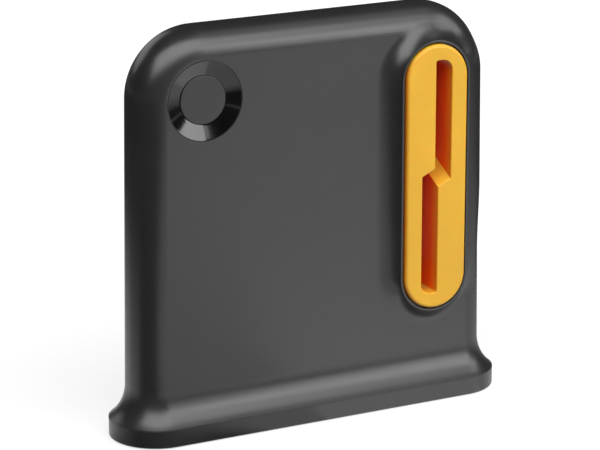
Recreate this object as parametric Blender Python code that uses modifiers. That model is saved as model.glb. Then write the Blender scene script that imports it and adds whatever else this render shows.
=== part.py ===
"""Table scissor sharpener: an upright hollow housing on a flared foot, with a Z-shaped slot through it.

The housing stands on the XY plane, long side along X, its front facing -Y.
Two blade guides meet in the middle of the slot and trap a small rocking carrier with two ceramic rods.
All lengths are in metres.
"""
import bmesh
import bpy
from math import asin, atan2, cos, hypot, pi, radians, sin, sqrt
from mathutils import Matrix, Vector

# Housing slab
HOUSING_HEIGHT = 0.1100
SLAB_WIDTH_LOW = 0.1060
SLAB_WIDTH_HIGH = 0.1025
SLAB_THICKNESS = 0.0166
SIDE_FLAT = 0.0010
CORNER_RADIUS = 0.0188
WALL = 0.0022

# Foot
FOOT_END_OVERHANG = 0.0044
FOOT_FACE_OVERHANG = 0.00465
RIM_HEIGHT = 0.0050
FLARE_HEIGHT = 0.0093
PARTING_GAP = 0.0003
FLARE_TUCK = 0.00005

# Base tray and non-slip sole
SOLE_PROUD = 0.0003
SOLE_MARGIN = 0.0016
SOLE_THICKNESS = 0.00135
SOLE_SEAT_GAP = 0.00015
TRAY_FLOOR = 0.0016
TRAY_RIB_THICKNESS = 0.0014
TRAY_RIB_HEIGHT = 0.0015
TRAY_RIB_GAP = 0.0004

# Blade guides, placed by their distance from the housing's top and side
GUIDE_DROP = 0.00985
GUIDE_INSET = 0.00885
GUIDE_STAND = 0.00465
GUIDE_HALF_WIDTH = 0.00925
GUIDE_HALF_HEIGHT = 0.0366
GUIDE_EDGE_ROUND = 0.0009
GUIDE_HEAD_THICKNESS = 0.0029
GUIDE_LEDGE = 0.00035
GUIDE_GAP = 0.00045
LEDGE_GAP = 0.0003
MIDDLE_GAP = 0.0003

# Raised surround of each guide
LIP_WIDTH = 0.0006
SURROUND_REACH = 0.0057
SURROUND_TURN = 0.0020
SHOULDER_DEPTH = 0.0082
SHOULDER_PROUD = 0.00025

# Z-shaped slot, measured from the middle of the guide
SLOT_OVERLAP = 0.0005
SLOT_REACH = 0.0044
SLOT_END_MARGIN = 0.0006
PASSAGE_HIGH = 0.0027
PASSAGE_LOW = 0.0008
RAMP_RISE = 0.006475

# Rocking carrier and its two ceramic rods
CARRIER_SEAT_WALL = 0.0009
CARRIER_HALF_DEPTH = 0.0040
CARRIER_GAP = 0.0003
CARRIER_SLOT_MARGIN = 0.0003
ROCK_ANGLE = radians(4)
ROD_RADIUS = 0.0015
ROD_INSET = 0.0013
ROD_TAIL = 0.0031
ROD_PROUD = 0.00015
ROD_GAP = 0.0001
LUG_X = 0.0032
LUG_WIDTH = 0.0016
LUG_LENGTH = 0.0017
LUG_ROOT = 0.0012
LUG_GAP = 0.00012

# Snap tongues that hold the two guides together
CORE_WALL = 0.0015
CORE_WIDTH = 0.0050
CORE_LUG_WALL = 0.0013
CORE_END_WALL = 0.00035
CORE_FLOOR = 0.0024
TONGUE_ROOM = 0.0018
TONGUE_THICKNESS = 0.0014
TONGUE_CLEARANCE = 0.0040
TONGUE_END = 0.0060
BARB_LENGTH = 0.0020
BARB_DEPTH = 0.0009
CATCH_THICKNESS = 0.0015
CATCH_GAP = 0.0003

# Badge: a dished ring round a plain cap
BADGE_DROP = 0.01865
BADGE_INSET = 0.0179
BADGE_RADIUS = 0.01055
BADGE_EDGE_GAP = 0.0002
BADGE_DEPTH = 0.0015
RING_INNER_RADIUS = 0.00655
RING_DISH = 0.00095
CAP_RADIUS = 0.0064
CAP_DEPTH = 0.00055
CAP_EDGE_ROUND = 0.0002
BADGE_SEAT_GAP = 0.00015
STEM_RADIUS = 0.0020
STEM_LENGTH = 0.0042
BACKING_RADIUS = 0.0080
BACKING_DEPTH = 0.0016
RETAINER_RADIUS = 0.0045
RETAINER_THICKNESS = 0.0005
RETAINER_GAP = 0.0002

# Base screws, driven up through the tray into posts in the housing
SCREW_INSET = 0.0067
SCREW_INNER_X = 0.0145
SCREW_RADIUS = 0.00145
SCREW_LENGTH = 0.0112
SCREW_HEAD_RADIUS = 0.0027
SCREW_HEAD_HEIGHT = 0.0019
SCREW_SEAT = 0.0016
SCREW_BEVEL = 0.0005
SCREW_GAP = 0.0003
RECESS_WIDTH = 0.0007
RECESS_REACH = 0.0016
RECESS_DEPTH = 0.0010
POST_RADIUS = 0.0033
POST_HEIGHT = 0.0135
POST_ROOF = 0.0012
POST_RIB_THICKNESS = 0.0012
TRAY_POST_RADIUS = 0.0039

OVERRUN = 0.0010
MERGE_DISTANCE = 0.00001
ROUND_SHARE = 0.5

# Facets
CORNER_STEPS = 10
END_STEPS = 16
EDGE_STEPS = 3
TURN_STEPS = 48

# Places worked out from the sizes above
HALF_THICKNESS = SLAB_THICKNESS / 2
EDGE_RADIUS = HALF_THICKNESS - SIDE_FLAT / 2
FOOT_HALF_LENGTH = SLAB_WIDTH_LOW / 2 + FOOT_END_OVERHANG
FOOT_RADIUS = HALF_THICKNESS + FOOT_FACE_OVERHANG
FOOT_CORE = FOOT_HALF_LENGTH - FOOT_RADIUS
PARTING_Z = SOLE_PROUD + RIM_HEIGHT
HOUSING_TOP = SOLE_PROUD + HOUSING_HEIGHT
CORNER_Z = HOUSING_TOP - CORNER_RADIUS
FACE = HALF_THICKNESS + GUIDE_STAND
LIP = FACE - GUIDE_EDGE_ROUND
GUIDE_X = SLAB_WIDTH_HIGH / 2 - GUIDE_INSET - GUIDE_HALF_WIDTH
GUIDE_Z = HOUSING_TOP - GUIDE_DROP - GUIDE_HALF_HEIGHT
GUIDE_STRAIGHT = GUIDE_HALF_HEIGHT - GUIDE_HALF_WIDTH
LIP_RADIUS = GUIDE_HALF_WIDTH + GUIDE_GAP + LIP_WIDTH
PLUG_RADIUS = GUIDE_HALF_WIDTH - GUIDE_LEDGE
BADGE_X = BADGE_INSET - SLAB_WIDTH_HIGH / 2
BADGE_Z = HOUSING_TOP - BADGE_DROP
SLOT_END_RADIUS = SLOT_REACH + SLOT_END_MARGIN
SLOT_SLOPE_SHARE = (PASSAGE_HIGH - PASSAGE_LOW) / (SLOT_REACH - SLOT_OVERLAP)
SLOPE_ANGLE = atan2(PASSAGE_HIGH - PASSAGE_LOW, SLOT_REACH - SLOT_OVERLAP)
CARRIER_RADIUS = PLUG_RADIUS - CARRIER_SEAT_WALL - CARRIER_GAP
ROD_REACH = CARRIER_RADIUS - ROD_INSET
LUG_BOTTOM = CARRIER_RADIUS + LUG_LENGTH
LUG_TOP = CARRIER_RADIUS - LUG_ROOT
CORE_OUTER = PLUG_RADIUS - CORE_WALL
CORE_INNER = CORE_OUTER - CORE_WIDTH
CORE_LOW = LUG_BOTTOM + CARRIER_GAP + CORE_LUG_WALL
CORE_HIGH = GUIDE_STRAIGHT - CORE_END_WALL
TONGUE_INNER = CORE_INNER + TONGUE_ROOM
TONGUE_LOW = CORE_LOW + TONGUE_CLEARANCE
TONGUE_HIGH = CORE_HIGH - TONGUE_CLEARANCE
TRAY_UNDERSIDE = SOLE_PROUD
SOLE_CEILING = SOLE_THICKNESS + SOLE_SEAT_GAP
TRAY_TOP = PARTING_Z - PARTING_GAP
TRAY_FLOOR_TOP = SOLE_CEILING + TRAY_FLOOR
HEAD_BOTTOM = SOLE_CEILING + SCREW_GAP
HEAD_TOP = HEAD_BOTTOM + SCREW_HEAD_HEIGHT
TRAY_POST_TOP = HEAD_TOP + SCREW_SEAT
POST_BOTTOM = TRAY_POST_TOP + SCREW_GAP
SCREW_OUTER_X = SLAB_WIDTH_LOW / 2 - SCREW_INSET
SCREW_PLACES = (-SCREW_OUTER_X, -SCREW_INNER_X, SCREW_INNER_X, SCREW_OUTER_X)

for old in list(bpy.data.objects):
    bpy.data.objects.remove(old)

parts = bpy.data.collections.new("scissor_sharpener")
cutters = bpy.data.collections.new("cutters")
for collection in (parts, cutters):
    bpy.context.scene.collection.children.link(collection)
cutters.hide_render = True


def material(name, colour, roughness, metallic=0.0):
    made = bpy.data.materials.new(name)
    made.use_nodes = True
    shader = made.node_tree.nodes["Principled BSDF"]
    shader.inputs["Base Color"].default_value = (*colour, 1.0)
    shader.inputs["Roughness"].default_value = roughness
    shader.inputs["Metallic"].default_value = metallic
    made.diffuse_color = (*colour, 1.0)
    return made


SATIN_BLACK = material("satin_black_plastic", (0.070, 0.070, 0.074), 0.45)
GLOSS_BLACK = material("gloss_black_plastic", (0.020, 0.020, 0.022), 0.12)
ORANGE = material("orange_plastic", (0.760, 0.430, 0.060), 0.42)
CERAMIC = material("white_ceramic", (0.850, 0.830, 0.780), 0.55)
RUBBER = material("black_rubber", (0.030, 0.030, 0.030), 0.85)
STEEL = material("screw_steel", (0.560, 0.560, 0.570), 0.30, 1.0)


def add(name, mesh, finish=None):
    """Links a mesh as a part when it has a finish, and as a hidden helper when it has none."""
    made = bpy.data.objects.new(name, mesh)
    if finish:
        mesh.materials.append(finish)
        parts.objects.link(made)
    else:
        cutters.objects.link(made)
        made.hide_render = True
        made.display_type = "WIRE"
    return made


def smooth(part, angle=radians(30)):
    part.data.shade_smooth()
    part.data.set_sharp_from_angle(angle=angle)
    return part


def mesh_from(name, bm, finish=None):
    bmesh.ops.recalc_face_normals(bm, faces=bm.faces)
    mesh = bpy.data.meshes.new(name)
    bm.to_mesh(mesh)
    bm.free()
    return add(name, mesh, finish)


def outline(name, points, depth, middle, turn, finish=None, edge_radius=0.0):
    """A flat outline given depth along its own Z, then turned and moved; edge_radius swells it all round."""
    curve = bpy.data.curves.new(name, "CURVE")
    curve.dimensions = "2D"
    curve.fill_mode = "BOTH"
    curve.extrude = depth / 2
    curve.bevel_depth = edge_radius
    curve.bevel_resolution = EDGE_STEPS
    spline = curve.splines.new("POLY")
    spline.points.add(len(points) - 1)
    for point, (across, along) in zip(spline.points, points):
        point.co = (across, along, 0.0, 1.0)
    spline.use_cyclic_u = True
    drawn = bpy.data.objects.new(name + "_curve", curve)
    drawn.rotation_euler = turn
    drawn.location = middle
    cutters.objects.link(drawn)
    bpy.context.view_layer.update()
    graph = bpy.context.evaluated_depsgraph_get()
    mesh = bpy.data.meshes.new_from_object(drawn.evaluated_get(graph))
    placed = drawn.matrix_world.copy()
    bpy.data.objects.remove(drawn)
    mesh.transform(placed)
    bm = bmesh.new()
    bm.from_mesh(mesh)
    bpy.data.meshes.remove(mesh)
    bmesh.ops.remove_doubles(bm, verts=bm.verts, dist=MERGE_DISTANCE)
    bmesh.ops.dissolve_limit(bm, angle_limit=radians(0.5), verts=bm.verts, edges=bm.edges)
    return mesh_from(name, bm, finish)


STANDING = (pi / 2, 0.0, 0.0)
LYING = (0.0, 0.0, 0.0)


def standing(name, points, back, front, finish=None, edge_radius=0.0):
    """An outline in X and Z, reaching in Y from back to front, less its swelling."""
    depth = abs(back - front) - 2 * edge_radius
    return outline(name, points, depth, (0.0, (back + front) / 2, 0.0), STANDING, finish, edge_radius)


def lying(name, points, bottom, top, finish=None):
    return outline(name, points, top - bottom, (0.0, 0.0, (bottom + top) / 2), LYING, finish)


def box(name, low, high, finish=None):
    bm = bmesh.new()
    size = Vector(high) - Vector(low)
    middle = (Vector(high) + Vector(low)) / 2
    bmesh.ops.create_cube(bm, size=1.0, matrix=Matrix.Translation(middle) @ Matrix.Diagonal((*size, 1.0)))
    return mesh_from(name, bm, finish)


def rod(name, start, end, radius, finish=None, steps=TURN_STEPS):
    bm = bmesh.new()
    run = Vector(end) - Vector(start)
    place = Matrix.Translation((Vector(start) + Vector(end)) / 2)
    place @= run.to_track_quat("Z", "Y").to_matrix().to_4x4()
    bmesh.ops.create_cone(
        bm, cap_ends=True, segments=steps, radius1=radius, radius2=radius, depth=run.length, matrix=place
    )
    return mesh_from(name, bm, finish)


def turned(name, profile, middle, turn, finish, closed=True):
    """A profile of radius and height, turned about the object's own Z."""
    mesh = bpy.data.meshes.new(name)
    count = len(profile)
    edges = [(index, index + 1) for index in range(count - 1)]
    if closed:
        edges.append((count - 1, 0))
    mesh.from_pydata([(radius, 0.0, height) for radius, height in profile], edges, [])
    made = add(name, mesh, finish)
    made.location = middle
    made.rotation_euler = turn
    screw = made.modifiers.new("turn", "SCREW")
    screw.axis = "Z"
    screw.steps = screw.render_steps = TURN_STEPS
    screw.use_merge_vertices = True
    screw.merge_threshold = MERGE_DISTANCE
    screw.use_smooth_shade = True
    return made


def loft(name, rings, finish=None):
    """A closed skin through rings of equal count, capped at both ends."""
    bm = bmesh.new()
    rows = [[bm.verts.new(point) for point in ring] for ring in rings]
    count = len(rows[0])
    for lower, upper in zip(rows, rows[1:]):
        for index in range(count):
            after = (index + 1) % count
            bm.faces.new((lower[index], lower[after], upper[after], upper[index]))
    bm.faces.new(rows[0])
    bm.faces.new(rows[-1])
    bmesh.ops.remove_doubles(bm, verts=bm.verts, dist=MERGE_DISTANCE)
    return mesh_from(name, bm, finish)


def combine(part, other, operation):
    step = part.modifiers.new(operation.lower(), "BOOLEAN")
    step.operation = operation
    step.object = other
    step.solver = "EXACT"
    return part


def cut(part, *others):
    for other in others:
        combine(part, other, "DIFFERENCE")
    return part


def join(part, *others):
    for other in others:
        combine(part, other, "UNION")
    return part


def stadium(half_straight, radius, upright=False):
    """Points round a stadium, each with its outward direction."""
    ring = []
    for side in (1, -1):
        for step in range(END_STEPS + 1):
            angle = side * pi / 2 - pi / 2 + pi * step / END_STEPS
            out = (cos(angle), sin(angle))
            if not upright:
                out = (sin(angle), -cos(angle))
            shift = (0.0, side * half_straight) if upright else (side * half_straight, 0.0)
            ring.append(((shift[0] + radius * out[0], shift[1] + radius * out[1]), out))
    return ring


def lying_stadium(radius):
    return [point for point, _ in stadium(FOOT_CORE, radius)]


def guide_stadium(radius):
    return [(GUIDE_X + u, GUIDE_Z + w) for (u, w), _ in stadium(GUIDE_STRAIGHT, radius, upright=True)]


def half_width(z):
    """Half the slab's width at a height, with the draft of its sides."""
    share = (z - SOLE_PROUD) / HOUSING_HEIGHT
    return (SLAB_WIDTH_LOW + (SLAB_WIDTH_HIGH - SLAB_WIDTH_LOW) * share) / 2


CORNER_X = half_width(CORNER_Z) - CORNER_RADIUS
INSET_RADIUS = CORNER_RADIUS - EDGE_RADIUS


def past_flat(x, z):
    """How far a place lies outside the flat of the face; negative on the flat."""
    if z > CORNER_Z and abs(x) > CORNER_X:
        return hypot(abs(x) - CORNER_X, z - CORNER_Z) - INSET_RADIUS
    return max(abs(x) - half_width(z) + EDGE_RADIUS, z - HOUSING_TOP + EDGE_RADIUS)


def slab_depth(x, z):
    """Height of the slab's front surface above the middle plane."""
    past = min(max(past_flat(x, z), 0.0), EDGE_RADIUS)
    return HALF_THICKNESS - EDGE_RADIUS + sqrt(EDGE_RADIUS**2 - past**2)


def slab(name, wall, finish=None):
    """The upright slab with full-round edges, its outline run on below the foot; a cavity has a wall."""
    bottom = -EDGE_RADIUS - OVERRUN
    low = half_width(bottom) - EDGE_RADIUS
    points = [(-low, bottom), (low, bottom)]
    for side in (1, -1):
        for step in range(CORNER_STEPS + 1):
            angle = pi / 2 * step / CORNER_STEPS
            if side < 0:
                angle = pi / 2 - angle
            x = CORNER_X + INSET_RADIUS * cos(angle)
            points.append((side * x, CORNER_Z + INSET_RADIUS * sin(angle)))
    depth = HALF_THICKNESS - wall
    return standing(name, points, depth, -depth, finish, EDGE_RADIUS - wall)


FLARE_TOP = PARTING_Z + FLARE_HEIGHT
FLARE_REACH = FOOT_RADIUS - HALF_THICKNESS + FLARE_TUCK
FLARE_ARC = (FLARE_REACH**2 + FLARE_HEIGHT**2) / (2 * FLARE_REACH)


def flare_radius(z):
    """Half the foot's outside width at a height in the concave flare."""
    return FOOT_RADIUS - FLARE_REACH + FLARE_ARC - sqrt(FLARE_ARC**2 - (FLARE_TOP - z) ** 2)


def foot(name, wall):
    """The concave flare that leaves the slab upright and widens to the rim."""
    last = asin(FLARE_HEIGHT / FLARE_ARC)
    top = FLARE_TOP + OVERRUN
    rings = [[(x, y, top) for x, y in lying_stadium(flare_radius(FLARE_TOP) - wall - OVERRUN)]]
    steps = 2 * EDGE_STEPS
    for step in range(steps + 1):
        z = FLARE_TOP - FLARE_ARC * sin(last * step / steps)
        rings.append([(x, y, z) for x, y in lying_stadium(flare_radius(z) - wall)])
    rings.append([(x, y, PARTING_Z - OVERRUN) for x, y in lying_stadium(FOOT_RADIUS - wall)])
    return loft(name, rings)


def rightward(out):
    """0 where the surround turns down in a hollow, 1 where its shoulder runs over the housing's side."""
    share = min(max(out[0], 0.0), 1.0)
    return share * share * (3 - 2 * share)


def surround_column(u, w, out):
    """One run of the raised rim from its lip down to the slab: offsets outward with depths in Y."""
    right = rightward(out)
    shoulder_reach = half_width(GUIDE_Z) - GUIDE_X - LIP_RADIUS + SHOULDER_PROUD
    reach = SURROUND_REACH + (shoulder_reach - SURROUND_REACH) * right
    end = slab_depth(GUIDE_X + u + out[0] * reach, GUIDE_Z + w + out[1] * reach) * (1 - right)
    turn_offset = SURROUND_TURN + (shoulder_reach - SURROUND_TURN) * right
    turn_depth = end + (SHOULDER_DEPTH - end) * right
    run = []
    for step in range(2 * EDGE_STEPS + 1):
        share = step / (2 * EDGE_STEPS)
        bend = 2 * share * (1 - share)
        offset = bend * turn_offset + share**2 * reach
        run.append((offset, (1 - share) ** 2 * LIP + bend * turn_depth + share**2 * end))
    tuck = WALL / 2 * (1 - right)
    run.append((reach - tuck, max(end - tuck, 0.0)))
    return run


def surround():
    """The raised rims of both guides in one body, joined through the slab."""
    columns = []
    for (u, w), out in stadium(GUIDE_STRAIGHT, LIP_RADIUS, upright=True):
        run = surround_column(u, w, out)
        both = [(offset, -depth) for offset, depth in run] + run[::-1]
        x, z = GUIDE_X + u, GUIDE_Z + w
        columns.append([(x + out[0] * offset, y, z + out[1] * offset) for offset, y in both])
    return loft("surround", list(zip(*columns)))


def make_shell():
    shell = slab("body_shell", 0.0, SATIN_BLACK)
    join(shell, foot("foot_outside", 0.0), surround())
    wide = FOOT_HALF_LENGTH + OVERRUN
    below = box("below_parting", (-wide, -wide, -wide), (wide, wide, PARTING_Z))
    cut(shell, below, slab("cavity", WALL), foot("foot_inside", WALL))

    # Posts for the base screws, each stiffened by a rib between the two faces
    top = POST_BOTTOM + POST_HEIGHT
    rib_reach = HALF_THICKNESS - WALL / 2
    for index, x in enumerate(SCREW_PLACES, start=1):
        post = rod(f"post_{index}", (x, 0.0, POST_BOTTOM), (x, 0.0, top), POST_RADIUS, steps=2 * END_STEPS)
        half = POST_RIB_THICKNESS / 2
        foot_end = POST_BOTTOM + WALL
        rib = box(f"post_rib_{index}", (x - half, -rib_reach, foot_end), (x + half, rib_reach, top))
        join(shell, join(post, rib))
    for index, x in enumerate(SCREW_PLACES, start=1):
        hole = rod(
            f"post_hole_{index}",
            (x, 0.0, POST_BOTTOM - OVERRUN),
            (x, 0.0, top - POST_ROOF),
            SCREW_RADIUS + SCREW_GAP,
            steps=2 * END_STEPS,
        )
        cut(shell, hole)

    # Window for the two guides, wider at each face where their heads sit
    window = standing("window", guide_stadium(GUIDE_HALF_WIDTH), -FACE, FACE)
    ledge = FACE - GUIDE_HEAD_THICKNESS
    seat = guide_stadium(GUIDE_HALF_WIDTH + GUIDE_GAP)
    front_seat = standing("front_seat", seat, -ledge, -FACE)
    rear_seat = standing("rear_seat", seat, ledge, FACE)
    cut(shell, window, front_seat, rear_seat)

    # Badge pocket in the front, with a backing pad behind its floor
    floor = HALF_THICKNESS - BADGE_DEPTH
    pad_back = floor - BACKING_DEPTH
    pad = badge_rod("badge_backing", pad_back, HALF_THICKNESS - WALL / 2, BACKING_RADIUS)
    pocket = badge_rod("badge_pocket", floor, HALF_THICKNESS + OVERRUN, BADGE_RADIUS + BADGE_EDGE_GAP)
    behind = pad_back - OVERRUN
    stem_hole = badge_rod("badge_stem_hole", behind, HALF_THICKNESS, STEM_RADIUS + BADGE_EDGE_GAP)
    cut(join(shell, pad), pocket, stem_hole)
    return smooth(shell)


def badge_rod(name, back, front, radius, finish=None):
    """A round bar on the badge's axis, between two heights above the middle plane."""
    return rod(name, (BADGE_X, -back, BADGE_Z), (BADGE_X, -front, BADGE_Z), radius, finish)


def make_badge():
    facing = (pi / 2, 0.0, 0.0)
    face = (BADGE_X, -HALF_THICKNESS, BADGE_Z)
    seat = -BADGE_DEPTH + BADGE_SEAT_GAP
    bevel = CAP_EDGE_ROUND
    ring = [
        (BADGE_RADIUS, 0.0),
        (BADGE_RADIUS, seat),
        (RING_INNER_RADIUS, seat),
        (RING_INNER_RADIUS, -RING_DISH),
    ]
    smooth(turned("badge_ring", ring, face, facing, GLOSS_BLACK))
    cap = [
        (0.0, -CAP_DEPTH),
        (CAP_RADIUS - bevel, -CAP_DEPTH),
        (CAP_RADIUS, -CAP_DEPTH - bevel),
        (CAP_RADIUS, seat),
        (STEM_RADIUS, seat),
        (STEM_RADIUS, seat - STEM_LENGTH),
        (0.0, seat - STEM_LENGTH),
    ]
    smooth(turned("badge_cap", cap, face, facing, SATIN_BLACK, closed=False))
    back = HALF_THICKNESS - BADGE_DEPTH - BACKING_DEPTH - RETAINER_GAP
    inner = STEM_RADIUS + RETAINER_GAP
    retainer = [
        (RETAINER_RADIUS, 0.0),
        (RETAINER_RADIUS, -RETAINER_THICKNESS),
        (inner, -RETAINER_THICKNESS),
        (inner, 0.0),
    ]
    smooth(turned("badge_retainer", retainer, (BADGE_X, -back, BADGE_Z), facing, STEEL))


def make_base():
    wide = lying_stadium(FOOT_RADIUS)
    tray = lying("base_tray", wide, TRAY_UNDERSIDE, TRAY_TOP, SATIN_BLACK)
    rib_top = TRAY_TOP + TRAY_RIB_HEIGHT
    rib_radius = flare_radius(rib_top) - WALL - TRAY_RIB_GAP
    hollow_radius = rib_radius - TRAY_RIB_THICKNESS
    join(tray, lying("tray_rib", lying_stadium(rib_radius), TRAY_FLOOR_TOP, rib_top))
    cut(tray, lying("tray_hollow", lying_stadium(hollow_radius), TRAY_FLOOR_TOP, rib_top + OVERRUN))
    sole_radius = FOOT_RADIUS - SOLE_MARGIN
    cut(tray, lying("sole_recess", lying_stadium(sole_radius), -OVERRUN, SOLE_CEILING))
    lying("non_slip_sole", lying_stadium(sole_radius - SOLE_SEAT_GAP), 0.0, SOLE_THICKNESS, RUBBER)
    steps = 2 * END_STEPS
    for index, x in enumerate(SCREW_PLACES, start=1):
        ends = (x, 0.0, SOLE_CEILING + TRAY_FLOOR / 2), (x, 0.0, TRAY_POST_TOP)
        join(tray, rod(f"column_{index}", *ends, TRAY_POST_RADIUS, steps=steps))
    for index, x in enumerate(SCREW_PLACES, start=1):
        head_hole = (x, 0.0, SOLE_CEILING - OVERRUN), (x, 0.0, HEAD_TOP + SCREW_GAP)
        shank_hole = (x, 0.0, HEAD_TOP), (x, 0.0, TRAY_POST_TOP + OVERRUN)
        cut(tray, rod(f"head_hole_{index}", *head_hole, SCREW_HEAD_RADIUS + SCREW_GAP, steps=steps))
        cut(tray, rod(f"shank_hole_{index}", *shank_hole, SCREW_RADIUS + SCREW_GAP, steps=steps))
        make_screw(f"base_screw_{index}", x)
    return smooth(tray)


def make_screw(name, x):
    """A pan-head screw standing on its head, with a cross recess below."""
    bevel = SCREW_BEVEL
    tip = SCREW_HEAD_HEIGHT + SCREW_LENGTH
    profile = [
        (0.0, tip),
        (SCREW_RADIUS - bevel, tip),
        (SCREW_RADIUS, tip - 2 * bevel),
        (SCREW_RADIUS, SCREW_HEAD_HEIGHT),
        (SCREW_HEAD_RADIUS, SCREW_HEAD_HEIGHT),
        (SCREW_HEAD_RADIUS, bevel),
        (SCREW_HEAD_RADIUS - bevel, 0.0),
        (0.0, 0.0),
    ]
    screw = turned(name, profile, (x, 0.0, HEAD_BOTTOM), LYING, STEEL, closed=False)
    screw.modifiers["turn"].steps = screw.modifiers["turn"].render_steps = END_STEPS
    low, high = HEAD_BOTTOM - OVERRUN, HEAD_BOTTOM + RECESS_DEPTH
    half = RECESS_WIDTH / 2
    along = box(name + "_recess_x", (x - RECESS_REACH, -half, low), (x + RECESS_REACH, half, high))
    across = box(name + "_recess_y", (x - half, -RECESS_REACH, low), (x + half, RECESS_REACH, high))
    return smooth(cut(screw, join(along, across)))


def ramp(u, depth):
    """Height of the lower ramp over the middle of the slot, at a depth in from the guide's face."""
    return SLOT_SLOPE_SHARE * (u - SLOT_OVERLAP) - PASSAGE_HIGH + RAMP_RISE * depth / FACE


def slot_section(side, y, margin, end_radius):
    """The outline of the upper slot (side 1) or the lower one (side -1) at one depth, in world places."""
    left, right = -SLOT_OVERLAP - margin, SLOT_REACH + margin
    depth = FACE - abs(y)
    points = [(left, ramp(left, depth)), (right, ramp(right, depth))]
    first, last = asin(right / end_radius), asin(left / end_radius)
    for step in range(END_STEPS // 2 + 1):
        angle = first + (last - first) * step / (END_STEPS // 2)
        points.append((end_radius * sin(angle), GUIDE_STRAIGHT + end_radius * cos(angle)))
    return [(GUIDE_X + side * u, y, GUIDE_Z + side * w) for u, w in points]


def slot(name, side, start, end, margin=0.0):
    """Cuts one blade slot between two places in Y; its ramp rises towards the middle plane."""
    end_radius = SLOT_END_RADIUS + margin
    return loft(name, [slot_section(side, y, margin, end_radius) for y in (start, end)])


def guide_box(name, low, high, half_turn=False):
    """A box placed from the middle of the guide, or its copy half a turn round."""
    (u0, y0, w0), (u1, y1, w1) = low, high
    if half_turn:
        (u0, w0), (u1, w1) = (-u1, -w1), (-u0, -w0)
    return box(name, (GUIDE_X + u0, y0, GUIDE_Z + w0), (GUIDE_X + u1, y1, GUIDE_Z + w1))


def round_front(part, side):
    """Rounds the outer edge of a guide's head at its face."""
    bm = bmesh.new()
    bm.from_mesh(part.data)
    plane = side * FACE
    rim = [edge for edge in bm.edges if all(abs(vert.co.y - plane) < MERGE_DISTANCE for vert in edge.verts)]
    bmesh.ops.bevel(
        bm,
        geom=rim,
        offset=GUIDE_EDGE_ROUND,
        segments=EDGE_STEPS,
        profile=ROUND_SHARE,
        affect="EDGES",
        clamp_overlap=True,
    )
    bm.to_mesh(part.data)
    bm.free()
    return part


def make_guide(name, side):
    """One blade guide: side is -1 for the front one and 1 for the rear one."""
    middle = side * MIDDLE_GAP / 2
    ledge = side * (FACE - GUIDE_HEAD_THICKNESS + LEDGE_GAP)
    guide = round_front(standing(name, guide_stadium(GUIDE_HALF_WIDTH), ledge, side * FACE, ORANGE), side)
    into_head = ledge + side * WALL / 2
    join(guide, standing(name + "_plug", guide_stadium(PLUG_RADIUS), middle, into_head))
    outside, inside = side * (FACE + OVERRUN), middle - side * OVERRUN
    for half in (1, -1):
        cut(guide, slot(f"{name}_slot_{half}", half, outside, inside))
    seat_depth = CARRIER_HALF_DEPTH + CARRIER_GAP
    start, end = (GUIDE_X, inside, GUIDE_Z), (GUIDE_X, side * seat_depth, GUIDE_Z)
    cut(guide, rod(name + "_carrier_seat", start, end, CARRIER_RADIUS + CARRIER_GAP))

    # Cored pockets beside the slots, which also house the snap tongues
    floor = side * (FACE - CORE_FLOOR)
    for half_turn in (False, True):
        low, high = sorted((inside, floor))
        pocket = (-CORE_OUTER, low, CORE_LOW), (-CORE_INNER, high, CORE_HIGH)
        cut(guide, guide_box(f"{name}_core_{half_turn}", *pocket, half_turn))
    return guide


def make_front_guide():
    guide = make_guide("front_guide", -1)
    floor = -(FACE - CORE_FLOOR / 2)
    outer = TONGUE_INNER + TONGUE_THICKNESS
    reach = LUG_WIDTH / 2 + LUG_BOTTOM * sin(ROCK_ANGLE) + LUG_GAP
    notch = (LUG_X - reach, -CARRIER_HALF_DEPTH - CARRIER_GAP, -LUG_BOTTOM - CARRIER_GAP)
    cut(guide, guide_box("lug_notch", notch, (LUG_X + reach, OVERRUN, -LUG_TOP)))
    for half_turn in (False, True):
        tongue = guide_box(
            f"tongue_{half_turn}",
            (-outer, floor, TONGUE_LOW),
            (-TONGUE_INNER, TONGUE_END, TONGUE_HIGH),
            half_turn,
        )
        barb = guide_box(
            f"barb_{half_turn}",
            (-outer - BARB_DEPTH, TONGUE_END - BARB_LENGTH, TONGUE_LOW),
            (-TONGUE_INNER, TONGUE_END, TONGUE_HIGH),
            half_turn,
        )
        join(guide, join(tongue, barb))
    return smooth(guide)


def make_rear_guide():
    guide = make_guide("rear_guide", 1)
    catch_end = TONGUE_END - BARB_LENGTH - CATCH_GAP
    inner = TONGUE_INNER + TONGUE_THICKNESS + CATCH_GAP
    for half_turn in (False, True):
        catch = guide_box(
            f"catch_{half_turn}",
            (-CORE_OUTER - OVERRUN / 2, catch_end - CATCH_THICKNESS, TONGUE_LOW - CATCH_GAP),
            (-inner, catch_end, TONGUE_HIGH + CATCH_GAP),
            half_turn,
        )
        join(guide, catch)
    return smooth(guide)


def rod_ends(side):
    """Ends of a ceramic rod: the upper one (side 1) lies on the ridge of the upper slot's ramp."""
    along = Vector((cos(SLOPE_ANGLE), 0.0, sin(SLOPE_ANGLE)))
    up = Vector((-sin(SLOPE_ANGLE), 0.0, cos(SLOPE_ANGLE)))
    ridge = ramp(0.0, FACE) * cos(SLOPE_ANGLE)
    middle = Vector((GUIDE_X, 0.0, GUIDE_Z)) + side * up * (ridge + ROD_PROUD - ROD_RADIUS)
    near = side * along * ROD_REACH
    return middle + near, middle - side * along * ROD_TAIL


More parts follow.
